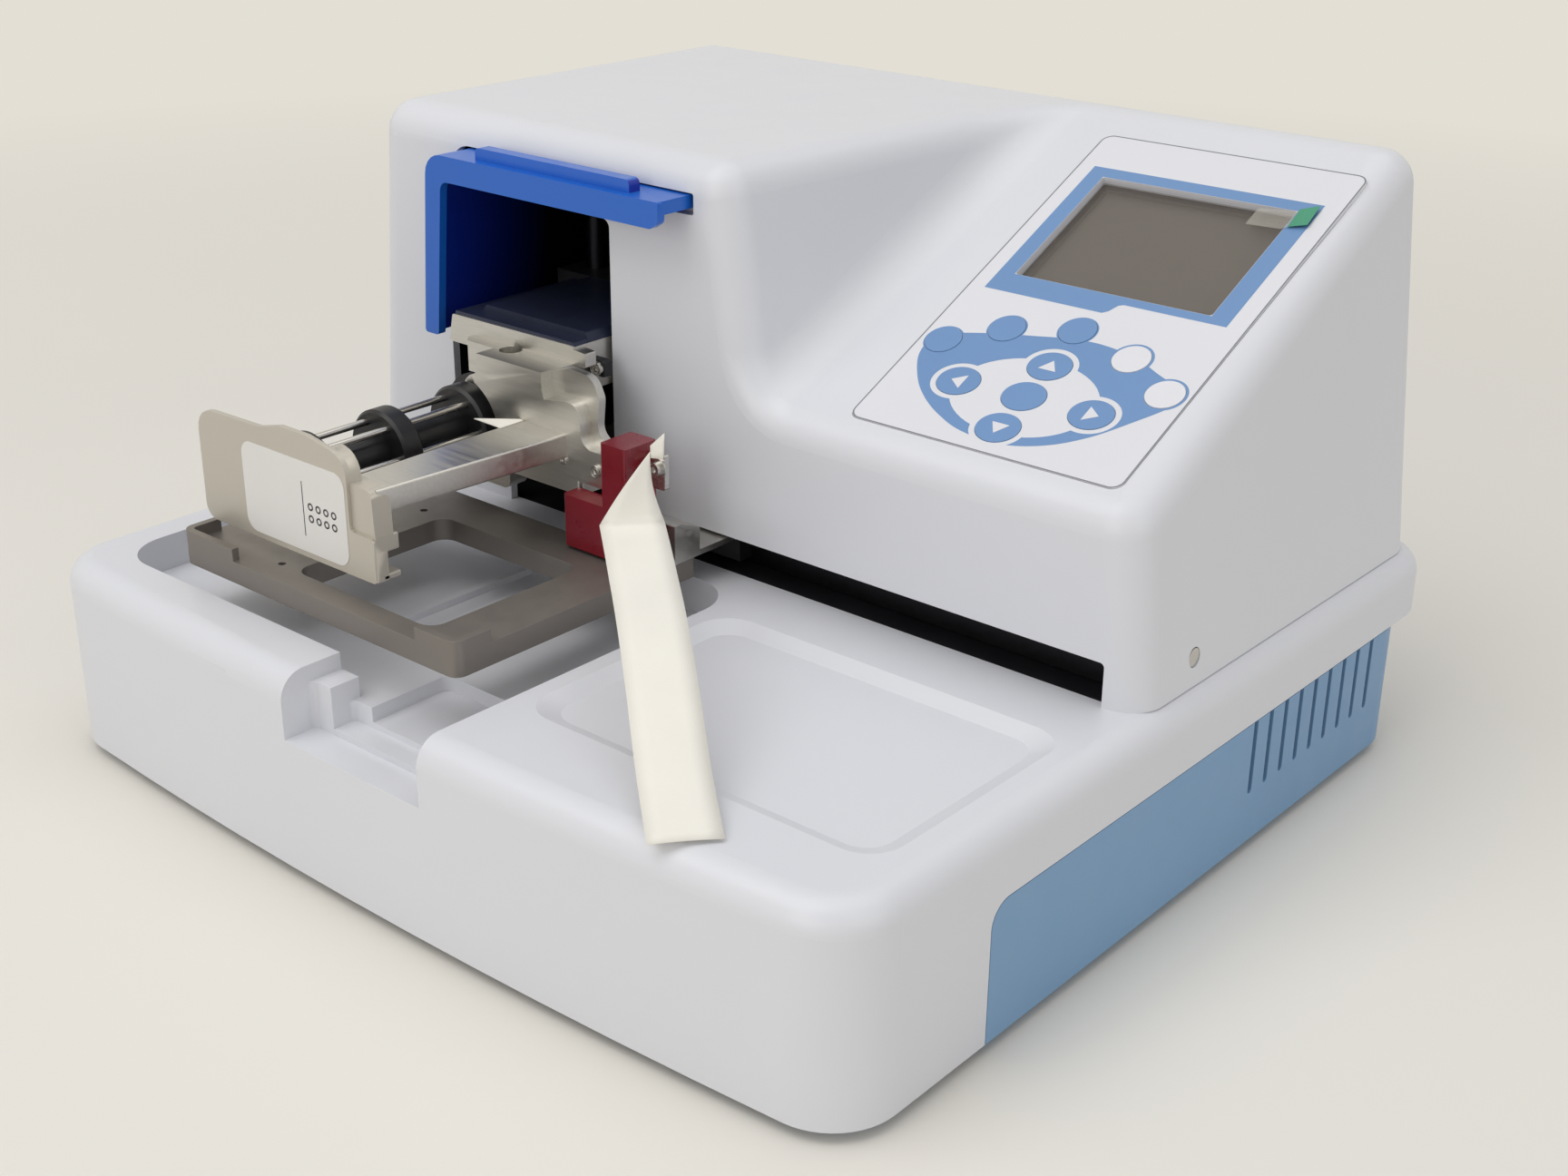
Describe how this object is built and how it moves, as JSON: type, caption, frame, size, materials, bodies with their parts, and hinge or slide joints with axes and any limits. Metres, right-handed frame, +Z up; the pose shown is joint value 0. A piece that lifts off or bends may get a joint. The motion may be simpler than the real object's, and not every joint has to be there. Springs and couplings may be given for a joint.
{
  "type": "microplate dispenser",
  "caption": "Bench-top microplate dispenser with a sloped keypad face, a roller pump head under a sliding cover, a travelling plate carrier with a transport lock, and a wide base tray.",
  "frame": {"origin": "centre of the outline on the bench, at the bottom of the rubber feet", "axes": "+X right along the front, +Y from the front to the back, +Z up"},
  "size_m": [0.3566, 0.3394, 0.21],
  "materials": {
    "white_shell": "semi-gloss moulded plastic",
    "blue_case": "satin paint",
    "panel_film": "printed film with blue graphics",
    "key_white": "satin",
    "key_blue": "satin",
    "window": "clear window",
    "display": "unlit display",
    "circuit": "circuit board",
    "cover_blue": "polished tinted plastic",
    "liner": "matt dark paint",
    "aluminium": "anodised, machined",
    "grey_coat": "fine textured paint",
    "steel": "bright",
    "black_plastic": "satin",
    "rotor_black": "black anodised",
    "label_film": "satin label, blank",
    "lock_red": "semi-gloss",
    "tag_paper": "uncoated",
    "rubber": "matt",
    "motor_paint": "satin black",
    "guide_plastic": "matt",
    "supply_metal": "mill finish"
  },
  "bodies": {
    "base": {"base_cover": "white_shell", "circuit_board": "circuit", "column_plates": "aluminium", "cover_rails": "guide_plastic", "display_module": "display", "display_window": "window", "drive_belt": "rubber", "idler_pin": "steel", "keypad_board": "circuit", "keypad_panel": "panel_film", "lift_guides": "steel", "lower_case": "blue_case", "power_entry": "black_plastic", "power_supply": "supply_metal", "pump_bay_liner": "liner", "rubber_feet": "rubber", "serial_port": "steel", "tower_cover": "white_shell", "tower_screws": "steel", "x_motor": "motor_paint", "x_rail": "steel"},
    "rotor_cover": {"rotor_cover": "cover_blue"},
    "pump_head": {"pump_rear_plate": "aluminium", "pump_upper_block": "aluminium", "pump_screws": "steel", "pump_front_plate": "aluminium", "pump_label": "label_film", "tension_bar": "aluminium", "rotor_bearing": "steel", "pump_motor": "motor_paint", "head_carriage": "aluminium", "lift_motor": "motor_paint"},
    "rotor": {"rotor_shaft": "steel", "rotor_discs": "rotor_black"},
    "plate_carriage": {"plate_carrier": "grey_coat", "carrier_arm": "grey_coat", "x_carriage": "black_plastic", "transport_lock": "lock_red", "lock_bracket": "steel", "lock_screw": "steel", "paper_tag": "tag_paper"},
    "power_switch": {"power_switch": "black_plastic"},
    "pulley_left": {"pulley_left": "black_plastic"},
    "pulley_right": {"pulley_right": "black_plastic"},
    "key_ok": {"key_ok": "key_blue"},
    "key_up": {"key_up": "key_blue"},
    "key_down": {"key_down": "key_blue"},
    "key_left": {"key_left": "key_blue"},
    "key_right": {"key_right": "key_blue"},
    "key_stop": {"key_stop": "key_white"},
    "key_start": {"key_start": "key_white"},
    "key_function_left": {"key_function_left": "key_blue"},
    "key_function_middle": {"key_function_middle": "key_blue"},
    "key_function_right": {"key_function_right": "key_blue"},
    "roller_1": {"roller_1": "steel"},
    "roller_2": {"roller_2": "steel"},
    "roller_3": {"roller_3": "steel"},
    "roller_4": {"roller_4": "steel"},
    "roller_5": {"roller_5": "steel"},
    "roller_6": {"roller_6": "steel"}
  },
  "joints": [
    {"name": "cover_slide", "type": "slide", "parent": "base", "child": "rotor_cover", "axis": [0, -1, 0], "range_m": [0, 0.084]},
    {"name": "head_lift", "type": "slide", "parent": "base", "child": "pump_head", "axis": [0, 0, 1], "range_m": [0, 0.03]},
    {"name": "rotor_turn", "type": "hinge", "parent": "pump_head", "child": "rotor", "pos_m": [-0.0855, -0.0877, 0.1108], "axis": [0, 1, 0], "continuous": true},
    {"name": "plate_slide", "type": "slide", "parent": "base", "child": "plate_carriage", "axis": [1, 0, 0], "range_m": [0, 0.128]},
    {"name": "power_rocker", "type": "hinge", "parent": "base", "child": "power_switch", "pos_m": [-0.096, 0.1537, 0.028], "axis": [0, 0, -1], "range_deg": [0, 22.05]},
    {"name": "roller_1_spin", "type": "hinge", "parent": "rotor", "child": "roller_1", "pos_m": [-0.0745, -0.085, 0.1108], "axis": [0, 1, 0], "continuous": true},
    {"name": "roller_2_spin", "type": "hinge", "parent": "rotor", "child": "roller_2", "pos_m": [-0.08, -0.085, 0.12033], "axis": [0, 1, 0], "continuous": true},
    {"name": "roller_3_spin", "type": "hinge", "parent": "rotor", "child": "roller_3", "pos_m": [-0.091, -0.085, 0.12033], "axis": [0, 1, 0], "continuous": true},
    {"name": "roller_4_spin", "type": "hinge", "parent": "rotor", "child": "roller_4", "pos_m": [-0.0965, -0.085, 0.1108], "axis": [0, 1, 0], "continuous": true},
    {"name": "roller_5_spin", "type": "hinge", "parent": "rotor", "child": "roller_5", "pos_m": [-0.091, -0.085, 0.10127], "axis": [0, 1, 0], "continuous": true},
    {"name": "roller_6_spin", "type": "hinge", "parent": "rotor", "child": "roller_6", "pos_m": [-0.08, -0.085, 0.10127], "axis": [0, 1, 0], "continuous": true},
    {"name": "pulley_left_turn", "type": "hinge", "parent": "base", "child": "pulley_left", "pos_m": [-0.026, 0.02, 0.077], "axis": [0, 0, 1], "continuous": true},
    {"name": "pulley_right_turn", "type": "hinge", "parent": "base", "child": "pulley_right", "pos_m": [0.148, 0.02, 0.077], "axis": [0, 0, 1], "continuous": true},
    {"name": "key_ok_press", "type": "slide", "parent": "base", "child": "key_ok", "axis": [0, 0.4274, -0.9041], "range_m": [0, 0.0004], "stiffness_N_per_m": 2000},
    {"name": "key_up_press", "type": "slide", "parent": "base", "child": "key_up", "axis": [0, 0.4274, -0.9041], "range_m": [0, 0.0004], "stiffness_N_per_m": 2000},
    {"name": "key_down_press", "type": "slide", "parent": "base", "child": "key_down", "axis": [0, 0.4274, -0.9041], "range_m": [0, 0.0004], "stiffness_N_per_m": 2000},
    {"name": "key_left_press", "type": "slide", "parent": "base", "child": "key_left", "axis": [0, 0.4274, -0.9041], "range_m": [0, 0.0004], "stiffness_N_per_m": 2000},
    {"name": "key_right_press", "type": "slide", "parent": "base", "child": "key_right", "axis": [0, 0.4274, -0.9041], "range_m": [0, 0.0004], "stiffness_N_per_m": 2000},
    {"name": "key_stop_press", "type": "slide", "parent": "base", "child": "key_stop", "axis": [0, 0.4274, -0.9041], "range_m": [0, 0.0004], "stiffness_N_per_m": 2000},
    {"name": "key_start_press", "type": "slide", "parent": "base", "child": "key_start", "axis": [0, 0.4274, -0.9041], "range_m": [0, 0.0004], "stiffness_N_per_m": 2000},
    {"name": "key_function_left_press", "type": "slide", "parent": "base", "child": "key_function_left", "axis": [0, 0.4274, -0.9041], "range_m": [0, 0.0004], "stiffness_N_per_m": 2000},
    {"name": "key_function_middle_press", "type": "slide", "parent": "base", "child": "key_function_middle", "axis": [0, 0.4274, -0.9041], "range_m": [0, 0.0004], "stiffness_N_per_m": 2000},
    {"name": "key_function_right_press", "type": "slide", "parent": "base", "child": "key_function_right", "axis": [0, 0.4274, -0.9041], "range_m": [0, 0.0004], "stiffness_N_per_m": 2000}
  ],
  "couplings": [
    {"joint": "pulley_left_turn", "follows": "plate_slide", "rad_per_m": 166.67},
    {"joint": "pulley_right_turn", "follows": "plate_slide", "rad_per_m": 166.67}
  ]
}
